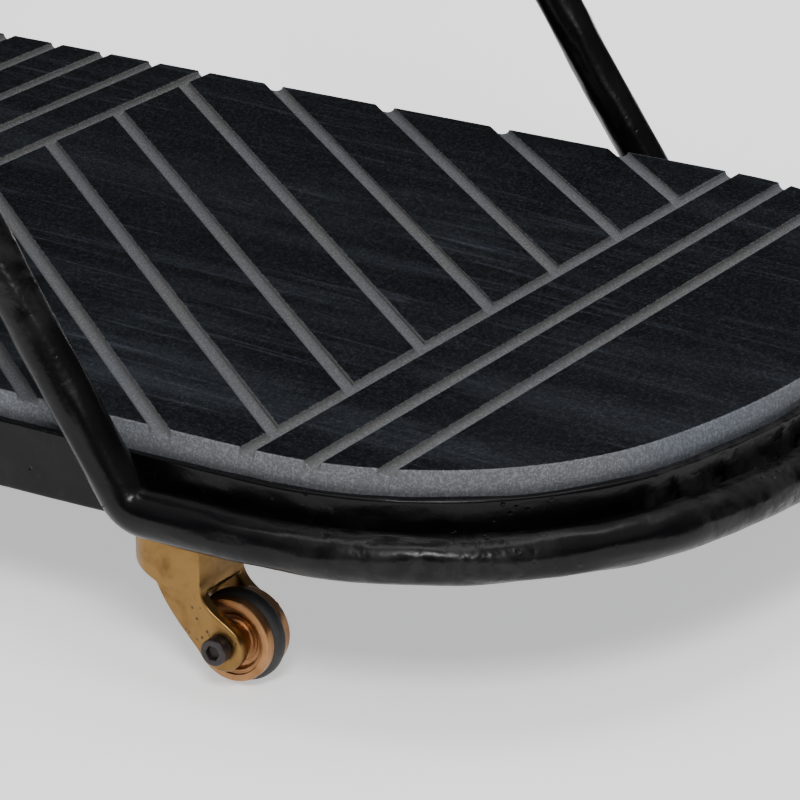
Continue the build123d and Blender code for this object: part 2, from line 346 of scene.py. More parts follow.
@dataclass(frozen=True)
class Levels:
    """Heights and offsets shared by the frame's pieces, in millimetres."""

    lower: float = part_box("slab_lower")[1][2] / MM
    upper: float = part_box("slab_upper")[1][2] / MM
    proud: float = 8.3
    apron_height: float = 27.0
    apron_thickness: float = 5.0
    gap: float = 1.2
    rod: float = (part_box("bow_lower_right")[1][1] / MM - PLAN.width / 2 - (gap + apron_thickness)) / 2
    elbow: float = 12.0
    elbow_x: float = PLAN.corner_x - 40.5

    @property
    def ring_drop(self) -> float:
        """Shelf top down to the bow's axis."""
        return self.proud + self.apron_height - self.rod

    @property
    def rod_out(self) -> float:
        """Shelf edge out to the bow's axis."""
        return self.gap + self.apron_thickness + self.rod

    @property
    def rod_y(self) -> float:
        """Distance of the leg plane from the centre plane."""
        return PLAN.width / 2 + self.rod_out

    @property
    def rise(self) -> float:
        """Angle of a leg above the horizontal."""
        return math.atan2(self.upper - self.lower, 2 * self.elbow_x)

    @property
    def setback(self) -> float:
        """Straight length taken by an elbow on each side."""
        return self.elbow * math.tan(self.rise / 2)


LEVELS = Levels()


# ------------------------------------------------------------------ finishes
@dataclass(frozen=True)
class StoneFinish:
    """Honed black marble with sawn rim and routed grooves."""

    name: str = "honed_black_marble"
    dark: Colour = (0.0016, 0.0020, 0.0030)
    vein: Colour = (0.034, 0.040, 0.050)
    fleck: Colour = (0.085, 0.098, 0.118)
    sawn_warm: Colour = (0.182, 0.184, 0.192)
    sawn_cool: Colour = (0.168, 0.182, 0.208)
    chip: Colour = (0.34, 0.35, 0.37)
    grit: Colour = (0.050, 0.054, 0.060)
    # Painted shade near the groove walls, darker than the shade over the rest of the grooves.
    painted_wall_shade: Colour = (0.050, 0.050, 0.047)
    # Painted shade over the grooves, full above the first depth below and faded out by the second (mm below
    # the top).
    painted_groove_shade: Colour = (0.085, 0.082, 0.074)
    shade_full_depth: float = 2.3
    shade_gone_depth: float = 2.9

    def _groove_distance(self, ax: Wire, y: Wire) -> Wire:
        """Distance in mm to the nearest groove's centre line."""
        far, margin = 50.0, 5.0
        middle = ax.from_multiple(PLAN.middle_pitch) + ax.above(PLAN.middle_reach + margin) * far
        along = ax - PLAN.end_start
        outside = along.below(-margin) + along.above(PLAN.end_reach + margin)
        end = along.from_multiple(PLAN.end_pitch) + outside * far
        centre = (PLAN.middle_reach + PLAN.end_start) / 2
        across = (ax - centre) * math.sin(PLAN.slant) + y * math.cos(PLAN.slant)
        beyond = ax.below(PLAN.middle_reach) + ax.above(PLAN.end_start)
        slanted = across.from_multiple(PLAN.slant_pitch) + beyond * far
        return middle.least(end).least(slanted)

    def _edge_distance(self, graph: Graph, ax: Wire, ay: Wire) -> Wire:
        """Distance in mm inward from the shelf's outline."""
        dx, dy = ax - PLAN.corner_x, ay - PLAN.corner_y
        corner = PLAN.corner - (dx * dx + dy * dy).root()
        cx = ax - PLAN.crown_x
        crown = PLAN.crown - (cx * cx + ay * ay).root()
        side = PLAN.width / 2 - ay
        on_crown = (cx * math.sin(PLAN.blend) - ay * math.cos(PLAN.blend)).above(0)
        return graph.pick(on_crown, graph.pick(dx.above(0), side, corner), crown)

    def build(self) -> bpy.types.Material:
        """Returns: the material; meshes carry their depth below the top in mm as top_depth."""
        s = Surface(self.name, Roughness=0.5, IOR=1.5, Specular_IOR_Level=0.05)
        g = s.graph
        x, y, z = s.point.split()
        x, y = x * PER_METRE, y * PER_METRE
        ax, ay = abs(x), abs(y)
        depth = s.value("top_depth")
        fine = g.noise(s.point, 950, 2, 0.6)
        ragged = (fine - 0.5) * 0.9 + (g.noise(s.point, 330, 2, 0.6) - 0.5) * 0.5
        half = PLAN.groove_half
        groove = 1 - (self._groove_distance(ax, y) + ragged).step(half - 0.15, half + 0.35)
        edge = self._edge_distance(g, ax, ay)
        rim = 1 - (edge + ragged * 0.9).step(0.35, 0.95)
        sawn = groove.most(rim).most(depth.step(0.25, 0.5))
        trench = self._groove_distance(ax, y)
        # Painted shade over the grooves, from the top down to the depth where it fades out.
        groove_shade_mask = groove * (1 - depth.step(self.shade_full_depth, self.shade_gone_depth))
        # Painted shade near the groove walls, inside the shaded part of the grooves.
        wall_shade_mask = groove_shade_mask * trench.step(half - 1.5, half + 0.2)
        arris = (1 - abs(edge - 0.6).step(0.0, 0.9)) * g.noise(s.point, 700, 1).step(0.62, 0.7)

        stretched = g.vector(x * 0.0032, y * 0.021 + x * 0.0015, z * 8.0)
        bands = g.noise(stretched, 1.0, 7, 0.62, 0.7).step(0.47, 0.74)
        drawn = g.vector(x * 0.006, y * 0.13 + x * 0.012, z * 8.0)
        threads = g.noise(drawn, 1.0, 6, 0.72, 1.1).step(0.52, 0.74)
        cloud = g.noise(s.point, 6.5, 3, 0.5).step(0.3, 0.75)
        grain = g.noise(s.point, 850, 3, 0.85).step(0.47, 0.68)
        pale = (bands * 0.5 + threads * 0.7) * (cloud * 0.65 + 0.35)
        polished = g.mix(pale.least(1.0), self.dark, self.vein)
        polished = g.mix(grain * (pale * 0.35 + 0.22).least(0.6), polished, self.fleck)
        warm = g.noise(s.point, 9, 2).step(0.35, 0.65)
        rough = g.mix(warm, self.sawn_cool, self.sawn_warm)
        speckle = g.noise(s.point, 780, 4, 0.85)
        rough = g.mix(speckle.step(0.38, 0.60) * 0.75, rough, self.grit)
        rough = g.mix(speckle.step(0.57, 0.68) * 0.75, rough, self.chip)
        # Lay the painted shade along the groove walls.
        rough = g.mix(wall_shade_mask * 0.55, rough, self.painted_wall_shade)
        # Lay the painted shade into the grooves.
        rough = g.mix(groove_shade_mask * 0.34, rough, self.painted_groove_shade)
        rough = g.mix(arris * 0.55, rough, self.chip)
        s.paint(Base_Color=g.mix(sawn, polished, rough))
        s.paint(Roughness=g.pick(sawn, 0.40 + grain * 0.12, 0.86))
        s.relief(g.noise(s.point, 620, 3, 0.8), 0.00006, 0.5)
        s.relief(sawn * speckle, 0.00042, 0.9)
        s.relief(1 - sawn, 0.00025, 0.7)
        return s.material


@dataclass(frozen=True)
class HammeredFinish:
    """Semi-gloss black over hammered and welded steel."""

    name: str
    base: Colour = (0.0022, 0.0021, 0.0026)
    bare: Colour = (0.036, 0.034, 0.036)
    gloss: float = 0.17
    dents: float = 0.00022

    def build(self) -> bpy.types.Material:
        """Returns: the material."""
        s = Surface(self.name, IOR=1.5, Specular_IOR_Level=0.17)
        g = s.graph
        lumps = g.noise(s.point, 95, 3, 0.55, 0.4)
        worked = g.noise(s.point, 7, 2, 0.5).step(0.57, 0.68)
        blows = g.noise(s.point, 130, 2, 0.5, 0.3).step(0.3, 0.7)
        scuff = g.noise(s.point, 42, 5, 0.7)
        rubbed = g.noise(s.point, 260, 4, 0.7).step(0.56, 0.75) * scuff.step(0.5, 0.7)
        pits = 1 - g.cells(s.point, 210).step(0.08, 0.22)
        pits = pits * g.noise(s.point, 24, 2).step(0.56, 0.68)
        rubbed = rubbed.most(worked * blows * 0.7)
        s.paint(Base_Color=g.mix(rubbed * 0.6, self.base, self.bare))
        s.paint(Roughness=self.gloss + scuff * 0.16 + rubbed * 0.2)
        s.relief(lumps, self.dents, 1.0)
        s.relief(worked * blows, 0.00060, 0.6)
        s.relief(g.noise(s.point, 420, 3, 0.6), 0.00010, 0.6)
        s.relief(1 - pits, 0.00035, 0.8)
        return s.material


@dataclass(frozen=True)
class AlloyFinish:
    """Worn copper alloy or plain steel, cast, turned or rolled."""

    name: str
    base: Colour
    stain: Colour
    pit: Colour
    gloss: float = 0.34
    pitted: float = 1.0
    turned: bool = False

    def build(self) -> bpy.types.Material:
        """Returns: the material; turned meshes carry turn_r in mm from their axis."""
        s = Surface(self.name, Metallic=1.0)
        g = s.graph
        blotch = g.noise(s.point, 70, 5, 0.65, 0.5).step(0.44, 0.74)
        smear = g.noise(s.point, 260, 4, 0.7).step(0.5, 0.8)
        holes = 1 - g.cells(s.point, 330).step(0.10, 0.24)
        holes = holes * g.noise(s.point, 60, 2).step(0.54, 0.64) * self.pitted
        colour = g.mix(blotch * 0.65 + smear * 0.22, self.base, self.stain)
        s.paint(Base_Color=g.mix(holes, colour, self.pit))
        s.paint(Metallic=1 - holes * 0.8)
        s.paint(Roughness=self.gloss + blotch * 0.14 + smear * 0.08)
        s.relief(g.noise(s.point, 900, 2, 0.6), 0.00004, 0.5)
        s.relief(1 - holes, 0.00025, 0.8)
        if self.turned:
            radius = s.value("turn_r")
            lines = g.noise(g.vector(radius * 2.6, 0.0, 0.0), 1.0, 4, 0.75)
            s.relief(lines, 0.00022, 0.9)
        return s.material


@dataclass(frozen=True)
class MattFinish:
    """Rubber, felt or oxide black: dark and mostly non-metallic."""

    name: str
    base: Colour
    worn: Colour
    rough: float = 0.62
    metal: float = 0.0
    grain: float = 700.0

    def build(self) -> bpy.types.Material:
        """Returns: the material."""
        s = Surface(self.name, Metallic=self.metal)
        g = s.graph
        wear = g.noise(s.point, 120, 5, 0.7).step(0.45, 0.8)
        fine = g.noise(s.point, self.grain, 3, 0.7)
        s.paint(Base_Color=g.mix(wear * 0.6 + fine * 0.2, self.base, self.worn))
        s.paint(Roughness=self.rough + fine * 0.14 - wear * 0.08)
        s.relief(fine, 0.00008, 0.6)
        return s.material


@dataclass(frozen=True)
class FloorFinish:
    """Pale seamless studio floor."""

    name: str = "pale_studio_floor"

    def build(self) -> bpy.types.Material:
        """Returns: the material."""
        s = Surface(self.name, Roughness=0.9, Specular_IOR_Level=0.1, Emission_Strength=0.62)
        g = s.graph
        s.paint(Base_Color=g.mix(g.noise(s.point, 3, 3), (0.86, 0.86, 0.86), (0.88, 0.88, 0.88)))
        s.bsdf.inputs["Emission Color"].default_value = (1.0, 1.0, 1.0, 1.0)
        return s.material


class Finish(Enum):
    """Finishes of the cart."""

    STONE = "stone"
    FRAME = "frame_black"
    PAD = "pad"
    BRASS = "caster_brass"
    BRONZE = "hub_bronze"
    TYRE = "tyre"
    SCREW = "black_screw"
    STEEL = "steel"


RECIPES = {
    Finish.STONE: StoneFinish(),
    Finish.FRAME: HammeredFinish("hammered_black"),
    Finish.PAD: MattFinish("pad_rubber", (0.02, 0.02, 0.02), (0.05, 0.05, 0.05), 0.8),
    Finish.BRASS: AlloyFinish(
        "aged_brass", (0.225, 0.130, 0.045), (0.105, 0.052, 0.017), (0.04, 0.024, 0.012)
    ),
    Finish.BRONZE: AlloyFinish(
        "turned_bronze", (0.40, 0.205, 0.092), (0.22, 0.100, 0.040), (0.10, 0.05, 0.024), 0.28, 0.3, True
    ),
    Finish.TYRE: MattFinish("tyre_rubber", (0.0095, 0.0095, 0.0098), (0.026, 0.026, 0.026), 0.55),
    Finish.SCREW: MattFinish("black_oxide", (0.030, 0.031, 0.035), (0.085, 0.048, 0.032), 0.34, 0.75, 400.0),
    Finish.STEEL: AlloyFinish(
        "zinc_steel", (0.52, 0.51, 0.49), (0.30, 0.28, 0.25), (0.1, 0.08, 0.06), 0.36, 0.4
    ),
}


class Paintbox:
    """Builds each material once."""

    def __init__(self) -> None:
        self._made: Dict[Finish, bpy.types.Material] = {}

    def __getitem__(self, finish: Finish) -> bpy.types.Material:
        """Material of a finish."""
        if finish not in self._made:
            self._made[finish] = RECIPES[finish].build()
        return self._made[finish]


PAINT = Paintbox()


def linked(name: str, data: bpy.types.ID) -> bpy.types.Object:
    """New object in the scene.

    Args:
        name: object name.
        data: its mesh, curve, lamp or camera.

    Returns:
        The object.
    """
    made = bpy.data.objects.new(name, data)
    bpy.context.scene.collection.objects.link(made)
    return made


# ------------------------------------------------------------------ geometry node recipes
class Recipe:
    """A geometry node group with named inputs, baked onto an object."""

    def __init__(self, name: str) -> None:
        """Args:
            name: group name.
        """
        self.group = bpy.data.node_groups.new(name, "GeometryNodeTree")
        self.graph = Graph(self.group)
        self.inputs: Dict[str, str] = {}
        self.group.interface.new_socket("Geometry", in_out="INPUT", socket_type="NodeSocketGeometry")
        self.group.interface.new_socket("Geometry", in_out="OUTPUT", socket_type="NodeSocketGeometry")

    def add_input(self, name: str, kind: str) -> None:
        """Declare a named input."""
        made = self.group.interface.new_socket(name, in_out="INPUT", socket_type=kind)
        self.inputs[name] = made.identifier

    def open(self) -> Dict[str, Wire]:
        """Group inputs as wires by name."""
        node = self.group.nodes.new("NodeGroupInput")
        return {s.name: Wire(self.graph, s) for s in node.outputs if s.name}

    def close(self, geometry: Wire, material: Wire) -> None:
        """End with Realize Instances and Set Material."""
        real = self.graph.node("GeometryNodeRealizeInstances", {0: geometry})
        painted = self.graph.node("GeometryNodeSetMaterial", {"Geometry": real, "Material": material})
        out = self.group.nodes.new("NodeGroupOutput")
        self.graph.plug(out.inputs[0], painted)

    def bake(self, source: bpy.types.Object, name: str, **values: object) -> bpy.types.Object:
        """Run the group on an object and keep the mesh.

        Args:
            source: object that gives the input geometry; it is removed.
            name: name of the new piece.
            **values: inputs, with underscores for spaces.

        Returns:
            The new mesh object.
        """
        modifier = source.modifiers.new("recipe", "NODES")
        modifier.node_group = self.group
        for key, value in values.items():
            modifier[self.inputs[key.replace("_", " ")]] = value
        source.update_tag()
        bpy.context.view_layer.update()
        depsgraph = bpy.context.evaluated_depsgraph_get()
        mesh = bpy.data.meshes.new_from_object(source.evaluated_get(depsgraph), depsgraph=depsgraph)
        bpy.data.objects.remove(source)
        mesh.name = name
        return linked(name, mesh)


class HammeredBar(Recipe):
    """Bar of rounded rectangular section along a curve, with a hammered skin."""

    def __init__(self) -> None:
        super().__init__("hammered_bar")
        for name in ("Thickness", "Height", "Corner", "Step", "Dent Depth", "Facet Length", "Facet Width"):
            self.add_input(name, "NodeSocketFloat")
        self.add_input("Around", "NodeSocketInt")
        self.add_input("Seed", "NodeSocketFloat")
        self.add_input("Material", "NodeSocketMaterial")
        g, a = self.graph, self.open()
        upright = g.node("GeometryNodeSetCurveNormal", {"Curve": a["Geometry"]})
        upright.socket.node.mode = "Z_UP"
        path = g.node("GeometryNodeResampleCurve", {"Curve": upright}, mode="LENGTH")
        g.plug(path.socket.node.inputs["Length"], a["Step"])
        along_path = g.node("GeometryNodeSplineParameter", output="Length")
        whole = g.node("GeometryNodeSplineLength", output="Length")
        path, along = self._keep(path, along_path)
        path, length = self._keep(path, whole)
        sides = {"Width": a["Thickness"], "Height": a["Height"]}
        profile = g.node("GeometryNodeCurvePrimitiveQuadrilateral", sides)
        rounded = g.node("GeometryNodeFilletCurve", {"Curve": profile, "Radius": a["Corner"]}, mode="POLY")
        g.plug(rounded.socket.node.inputs["Count"], 8)
        section = g.node("GeometryNodeResampleCurve", {"Curve": rounded, "Count": a["Around"]}, mode="COUNT")
        section, spot = self._keep(section, g.node("GeometryNodeInputPosition"), "FLOAT_VECTOR")
        bar = g.node("GeometryNodeCurveToMesh", {"Curve": path, "Profile Curve": section})
        across, up, _ = spot.split()
        width = a["Facet Width"]
        where = g.vector(along / a["Facet Length"] + a["Seed"], across / width, up / width)
        broad = g.noise(where, 1.0, 1.0, 0.45, 0.35).step(0.30, 0.70)
        blows = g.cells(where, 0.8, "SMOOTH_F1").step(0.10, 0.75)
        ripple = g.noise(where, 3.4, 1.5, 0.5)
        dent = broad * 0.5 + blows * 0.38 + ripple * 0.12
        near_end = along.least(length - along).step(0.0, 0.012)
        dent = (dent - 0.45) * near_end + 0.45
        normal = g.node("GeometryNodeInputNormal")
        inward = {0: normal, "Scale": -(dent * a["Dent Depth"])}
        sunk = g.node("ShaderNodeVectorMath", inward, operation="SCALE")
        moved = g.node("GeometryNodeSetPosition", {"Geometry": bar, "Offset": sunk})
        self.close(g.node("GeometryNodeSetShadeSmooth", {"Geometry": moved}, domain="FACE"), a["Material"])

    def _keep(self, geometry: Wire, value: Wire, kind: str = "FLOAT") -> Tuple[Wire, Wire]:
        """Capture a value on the points of a geometry.

        Args:
            geometry: geometry to carry the value.
            value: value to keep.
            kind: data type.

        Returns:
            The geometry and the kept value.
        """
        made = self.graph.tree.nodes.new("GeometryNodeCaptureAttribute")
        made.capture_items.new("FLOAT" if kind == "FLOAT" else "VECTOR", "kept")
        self.graph.plug(made.inputs[0], geometry)
        self.graph.plug(made.inputs[1], value)
        return Wire(self.graph, made.outputs[0]), Wire(self.graph, made.outputs[1])

    def bake(self, source: bpy.types.Object, name: str, **values: object) -> bpy.types.Object:
        """Run the recipe and close both ends of the bar with flat faces."""
        piece = super().bake(source, name, **values)
        work = bmesh.new()
        work.from_mesh(piece.data)
        rims = [e for e in work.edges if e.is_boundary]
        caps = bmesh.ops.holes_fill(work, edges=rims, sides=0)["faces"]
        for face in caps:
            face.smooth = False
            for edge in face.edges:
                edge.smooth = False
        bmesh.ops.recalc_face_normals(work, faces=work.faces)
        work.to_mesh(piece.data)
        work.free()
        return piece


class WeldBead(Recipe):
    """Overlapping weld ripples that follow a curve."""

    def __init__(self) -> None:
        super().__init__("weld_bead")
        for name in ("Size", "Pitch"):
            self.add_input(name, "NodeSocketFloat")
        self.add_input("Seed", "NodeSocketInt")
        self.add_input("Material", "NodeSocketMaterial")
        g, a = self.graph, self.open()
        points = g.node("GeometryNodeResampleCurve", {"Curve": a["Geometry"]}, mode="LENGTH")
        g.plug(points.socket.node.inputs["Length"], a["Pitch"])
        ball = g.node("GeometryNodeMeshIcoSphere", {"Radius": a["Size"], "Subdivisions": 3})
        size = self._random("FLOAT", 0.72, 1.0, a["Seed"])
        turn = self._random("FLOAT_VECTOR", (0.0, 0.0, 0.0), (6.28, 6.28, 6.28), a["Seed"])
        placed = {"Points": points, "Instance": ball, "Rotation": turn, "Scale": size}
        beads = g.node("GeometryNodeInstanceOnPoints", placed)
        real = g.node("GeometryNodeRealizeInstances", {0: beads})
        lumps = (g.noise(g.node("GeometryNodeInputPosition"), 420, 2) - 0.5) * a["Size"] * 0.7
        normal = g.node("GeometryNodeInputNormal")
        lift = g.node("ShaderNodeVectorMath", {0: normal, "Scale": lumps}, operation="SCALE")
        moved = g.node("GeometryNodeSetPosition", {"Geometry": real, "Offset": lift})
        self.close(g.node("GeometryNodeSetShadeSmooth", {"Geometry": moved}), a["Material"])

    def _random(self, kind: str, low: Operand, high: Operand, seed: Wire) -> Wire:
        """Random Value node of a data type, with a fixed seed."""
        made = self.graph.tree.nodes.new("FunctionNodeRandomValue")
        made.data_type = kind
        first = {"FLOAT": 2, "FLOAT_VECTOR": 0}[kind]
        made.inputs[first].default_value = low
        made.inputs[first + 1].default_value = high
        self.graph.plug(made.inputs["Seed"], seed)
        return Wire(self.graph, made.outputs[{"FLOAT": 1, "FLOAT_VECTOR": 0}[kind]])


def path_object(points: Iterable[Point]) -> bpy.types.Object:
    """Curve object through points given in millimetres.

    Args:
        points: points along the path.

    Returns:
        The curve object.
    """
    data = bpy.data.curves.new("path", "CURVE")
    data.dimensions = "3D"
    spline = data.splines.new("POLY")
    found = list(points)
    spline.points.add(len(found) - 1)
    for slot, (x, y, z) in zip(spline.points, found):
        slot.co = (x * MM, y * MM, z * MM, 1.0)
    return linked("path", data)


# ------------------------------------------------------------------ piece helpers
JOINED_WITHIN = 2e-6
FLAT_WITHIN = math.radians(0.8)
EASED_ABOVE = math.radians(32)
SHARP_ABOVE = math.radians(38)
TURNED_SHARP_ABOVE = math.radians(34)
TURN_SLANT = 0.37


def shade(mesh: bpy.types.Mesh, sharp_above: float) -> None:
    """Shade a mesh smooth, with edges steeper than an angle kept sharp."""
    for polygon in mesh.polygons:
        polygon.use_smooth = True
    mesh.set_sharp_from_angle(angle=sharp_above)


def settle(piece: bpy.types.Object, body: str, finish: Finish, *nodes: str) -> bpy.types.Object:
    """Join a piece to its body and finish, and let it stand for CAD nodes.

    Args:
        piece: the finished piece.
        body: CAD body it rides on.
        finish: its finish.
        *nodes: CAD nodes it replaces.

    Returns:
        The piece.
    """
    if not piece.data.materials:
        piece.data.materials.append(PAINT[finish])
    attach(piece, body)
    if nodes:
        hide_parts(*nodes)
    return piece


def softened(node: str, name: str, finish: Finish, width: float, segments: int = 2) -> bpy.types.Object:
    """Copy of a CAD node with its edges eased.

    Args:
        node: CAD node to copy.
        name: name of the piece.
        finish: its finish.
        width: edge rounding in millimetres.
        segments: steps across each rounded edge.

    Returns:
        The piece, with any CAD materials dropped.
    """
    mesh = frame["nodes"][node].data.copy()
    mesh.name = name
    mesh.materials.clear()
    mesh.materials.append(PAINT[finish])
    work = bmesh.new()
    work.from_mesh(mesh)
    bmesh.ops.remove_doubles(work, verts=work.verts, dist=JOINED_WITHIN)
    bmesh.ops.dissolve_limit(work, angle_limit=FLAT_WITHIN, verts=work.verts, edges=work.edges)
    work.to_mesh(mesh)
    work.free()
    piece = linked(name, mesh)
    bevel = piece.modifiers.new("eased", "BEVEL")
    bevel.width = width * MM
    bevel.segments = segments
    bevel.limit_method = "ANGLE"
    bevel.angle_limit = EASED_ABOVE
    bevel.use_clamp_overlap = False
    bevel.harden_normals = False
    bpy.context.view_layer.update()
    depsgraph = bpy.context.evaluated_depsgraph_get()
    eased = bpy.data.meshes.new_from_object(piece.evaluated_get(depsgraph), depsgraph=depsgraph)
    piece.modifiers.clear()
    piece.data = eased
    eased.name = name
    low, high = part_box(node)
    for vertex in eased.vertices:
        vertex.co = [min(max(v, least), most) for v, least, most in zip(vertex.co, low, high)]
    shade(eased, SHARP_ABOVE)
    return piece


def lathe(
    name: str, profile: Sequence[Tuple[float, float]], centre: Vector, axis: Vector, steps: int = 96
) -> bpy.types.Object:
    """Solid of revolution with a turn_r attribute.

    Args:
        name: name of the piece.
        profile: closed (radius, along) outline in millimetres.
        centre: centre of the piece in metres.
        axis: unit vector along the turning axis.
        steps: segments round the axis.

    Returns:
        The piece.
    """
    side = axis.orthogonal().normalized()
    other = axis.cross(side)
    count = len(profile)
    vertices = []
    radii = []
    for i in range(steps):
        angle = 2 * math.pi * i / steps
        out = side * math.cos(angle) + other * math.sin(angle)
        for radius, along in profile:
            vertices.append(centre + out * (radius * MM) + axis * (along * MM))
            radii.append(radius + TURN_SLANT * along)
    faces = []
    for i in range(steps):
        j = (i + 1) % steps
        for k in range(count):
            m = (k + 1) % count
            faces.append((i * count + k, i * count + m, j * count + m, j * count + k))
    mesh = bpy.data.meshes.new(name)
    mesh.from_pydata([tuple(v) for v in vertices], [], faces)
    mesh.attributes.new("turn_r", "FLOAT", "POINT").data.foreach_set("value", radii)
    work = bmesh.new()
    work.from_mesh(mesh)
    bmesh.ops.recalc_face_normals(work, faces=work.faces)
    work.to_mesh(mesh)
    work.free()
    shade(mesh, TURNED_SHARP_ABOVE)
    return linked(name, mesh)


# ------------------------------------------------------------------ sub-assemblies
@dataclass
class StoneShelf:
    """One grooved stone shelf and its pads."""

    level: str
    arris: float = 0.45

    def build(self) -> None:
        """Make the shelf's visible pieces."""
        node = f"slab_{self.level}"
        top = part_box(node)[1][2]
        piece = softened(node, f"{node}_stone", Finish.STONE, self.arris)
        depths = [(top - v.co.z) / MM for v in piece.data.vertices]
        piece.data.attributes.new("top_depth", "FLOAT", "POINT").data.foreach_set("value", depths)
        settle(piece, "frame", Finish.STONE, node)
        frame["nodes"][f"slab_pads_{self.level}"].data.materials[0] = PAINT[Finish.PAD]


@dataclass
class ShelfFrame:
    """Apron bars, crossbars and end bows of one level."""

    level: str
    bar: HammeredBar
    bead: WeldBead
    dent: float = 1.1
    rod_dent: float = 1.3
    weld_rise: float = 4.6
    weld_out: float = 0.9
    weld_lead: float = 6.0
    crown_run: int = 12

    @property
    def top(self) -> float:
        """Shelf top in millimetres."""
        return getattr(LEVELS, self.level)

    def _strip(self, node: str, points: List[Point]) -> None:
        """Hammered apron bar along points on its centre line."""
        values = dict(
            Thickness=LEVELS.apron_thickness * MM,
            Height=LEVELS.apron_height * MM,
            Corner=1.3 * MM,
            Step=2.4 * MM,
            Dent_Depth=self.dent * MM,
            Facet_Length=38 * MM,
            Facet_Width=16 * MM,
            Around=64,
            Seed=float(len(node)),
            Material=PAINT[Finish.FRAME],
        )
        piece = self.bar.bake(path_object(points), f"{node}_bar", **values)
        settle(piece, "frame", Finish.FRAME, node)

    def aprons(self) -> None:
        """The four apron bars."""
        middle = LEVELS.gap + LEVELS.apron_thickness / 2
        z = self.top - LEVELS.proud - LEVELS.apron_height / 2
        end = [(x, y, z) for x, y in PLAN.end_points(middle)]
        self._strip(f"apron_{self.level}_right", end)
        self._strip(f"apron_{self.level}_left", [(-x, y, z) for x, y, z in end])
        for side, name in ((-1, "front"), (1, "back")):
            y = side * (PLAN.width / 2 + middle)
            self._strip(f"apron_{self.level}_{name}", [(-PLAN.corner_x, y, z), (PLAN.corner_x, y, z)])

    def bow_path(self, right: int) -> List[Point]:
        """Axis of an end bow with its two elbows.

        Args:
            right: 1 for the right-hand end, -1 for the left.

        Returns:
            Points from the front elbow round to the back elbow.
        """
        up = 1 if self.level == "lower" else -1
        z = self.top - LEVELS.ring_drop
        back = LEVELS.setback
        centre_x = LEVELS.elbow_x + back
        elbow = []
        for i in range(13):
            angle = LEVELS.rise * (1 - i / 12)
            x = centre_x - LEVELS.elbow * math.sin(angle)
            elbow.append((x, -LEVELS.rod_y, z + up * LEVELS.elbow * (1 - math.cos(angle))))
        ring = [(x, y, z) for x, y in PLAN.end_points(LEVELS.rod_out)]
        points = elbow + ring + [(x, -y, h) for x, y, h in reversed(elbow)]
        return [(right * x, y, h) for x, y, h in points]

    def bows(self) -> None:
        """Both end bows and the welds that hold them to the apron."""
        for right, name in ((1, "right"), (-1, "left")):
            node = f"bow_{self.level}_{name}"
            values = rod_values(self.rod_dent, 3.7 * len(node))
            piece = self.bar.bake(path_object(self.bow_path(right)), f"{node}_rod", **values)
            settle(piece, "frame", Finish.FRAME, node)
            self._bow_welds(right, name)

    def _bow_welds(self, right: int, name: str) -> None:
        """Stitch welds above the bow, by the elbows and on the crown."""
        z = self.top - LEVELS.ring_drop + self.weld_rise
        offset = LEVELS.gap + LEVELS.apron_thickness + self.weld_out
        ring = PLAN.end_points(offset, 2.0)
        start_x = LEVELS.elbow_x - self.weld_lead
        middle = len(ring) // 2
        runs = {
            "front": [(start_x, ring[0][1]), ring[0], *ring[1:8]],
            "back": [(start_x, ring[-1][1]), ring[-1], *ring[-2:-9:-1]],
            "crown": ring[middle - self.crown_run : middle + self.crown_run],
        }
        for place, run in runs.items():
            points = [(right * x, y, z) for x, y in run]
            label = f"weld_bow_{self.level}_{name}_{place}"
            weld(self.bead, label, points, 1.15, 11 + len(label))

    def crossbars(self) -> None:
        """Crossbars with eased edges, welded to the aprons."""
        for name in ("left", "middle", "right"):
            node = f"crossbar_{self.level}_{name}"
            low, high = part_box(node)
            settle(softened(node, f"{node}_bar", Finish.FRAME, 0.6), "frame", Finish.FRAME, node)
            for side, end in ((low[1], "front"), (high[1], "back")):
                y = side / MM + (1.0 if end == "front" else -1.0)
                z = low[2] / MM - 0.4
                points = [(low[0] / MM + 2, y, z), (high[0] / MM - 2, y, z)]
                weld(self.bead, f"weld_{node}_{end}", points, 1.5, len(node))

    def build(self) -> None:
        """Make every visible piece of the level."""
        self.aprons()
        self.bows()
        self.crossbars()


def rod_values(dent: float, seed: float) -> Dict[str, object]:
    """Inputs of the hammered bar for the round rod.

    Args:
        dent: deepest dent in millimetres.
        seed: shift of the hammer marks along the bar.

    Returns:
        Input values by name.
    """
    return dict(
        Thickness=2 * LEVELS.rod * MM,
        Height=2 * LEVELS.rod * MM,
        Corner=LEVELS.rod * MM * 0.999,
        Step=1.7 * MM,
        Dent_Depth=dent * MM,
        Facet_Length=34 * MM,
        Facet_Width=9.5 * MM,
        Around=56,
        Seed=seed,
        Material=PAINT[Finish.FRAME],
    )


def weld(bead: WeldBead, name: str, points: List[Point], size: float, seed: int) -> bpy.types.Object:
    """A weld bead on the frame.

    Args:
        bead: bead recipe.
        name: piece name.
        points: bead line in millimetres.
        size: ripple radius in millimetres.
        seed: seed of the ripples.

    Returns:
        The bead.
    """
    values = dict(Size=size * MM, Pitch=size * 0.85 * MM, Seed=seed, Material=PAINT[Finish.FRAME])
    return settle(bead.bake(path_object(points), name, **values), "frame", Finish.FRAME)


